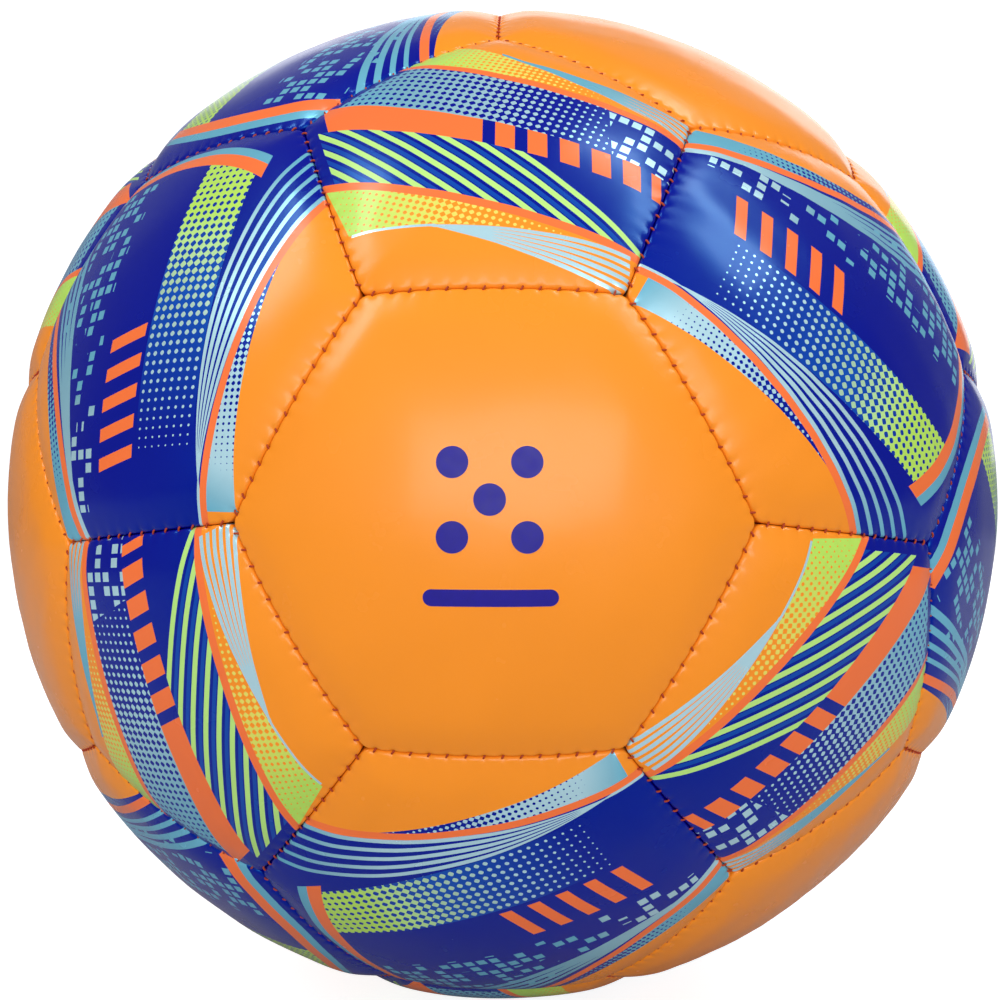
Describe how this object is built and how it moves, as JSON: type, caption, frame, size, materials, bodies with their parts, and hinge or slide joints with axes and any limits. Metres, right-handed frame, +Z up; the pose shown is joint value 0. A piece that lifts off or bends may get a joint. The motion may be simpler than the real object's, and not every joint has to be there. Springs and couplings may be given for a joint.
{
  "type": "hand-stitched football",
  "caption": "Round inflated football of stitched pentagon and hexagon panels over foam, lining and a bladder with a needle valve.",
  "frame": {"origin": "centre of the ball", "axes": "+Z up; -Y towards the plain hexagon at the front; +Y out through the valve in the opposite hexagon; +X to the right seen from the front"},
  "size_m": [0.2196, 0.2195, 0.2196],
  "materials": {
    "plain_cover": "gloss orange PVC skin",
    "printed_cover": "gloss blue PVC skin with a printed pattern",
    "foam": "white EVA foam",
    "lining": "laminated polyester and cotton cloth",
    "thread": "waxed orange polyester thread",
    "bladder": "butyl rubber",
    "valve": "moulded black rubber",
    "valve_plug": "soft grey rubber"
  },
  "bodies": {
    "root": {"front_hexagon": "plain_cover", "plain_hexagon_1": "plain_cover", "plain_hexagon_2": "plain_cover", "plain_hexagon_3": "plain_cover", "plain_hexagon_4": "plain_cover", "plain_hexagon_5": "plain_cover", "plain_hexagon_6": "plain_cover", "valve_hexagon": "plain_cover", "printed_hexagon_01": "printed_cover", "printed_hexagon_02": "printed_cover", "printed_hexagon_03": "printed_cover", "printed_hexagon_04": "printed_cover", "printed_hexagon_05": "printed_cover", "printed_hexagon_06": "printed_cover", "printed_hexagon_07": "printed_cover", "printed_hexagon_08": "printed_cover", "printed_hexagon_09": "printed_cover", "printed_hexagon_10": "printed_cover", "printed_hexagon_11": "printed_cover", "printed_hexagon_12": "printed_cover", "printed_pentagon_01": "printed_cover", "printed_pentagon_02": "printed_cover", "printed_pentagon_03": "printed_cover", "printed_pentagon_04": "printed_cover", "printed_pentagon_05": "printed_cover", "printed_pentagon_06": "printed_cover", "printed_pentagon_07": "printed_cover", "printed_pentagon_08": "printed_cover", "printed_pentagon_09": "printed_cover", "printed_pentagon_10": "printed_cover", "printed_pentagon_11": "printed_cover", "printed_pentagon_12": "printed_cover", "hexagon_foam_pads": "foam", "pentagon_foam_pads": "foam", "hexagon_lining_cloths": "lining", "pentagon_lining_cloths": "lining", "hexagon_seam_threads": "thread", "pentagon_seam_threads": "thread", "bladder": "bladder", "valve_patch": "bladder", "valve_body": "valve", "valve_core": "valve_plug"}
  },
  "joints": []
}
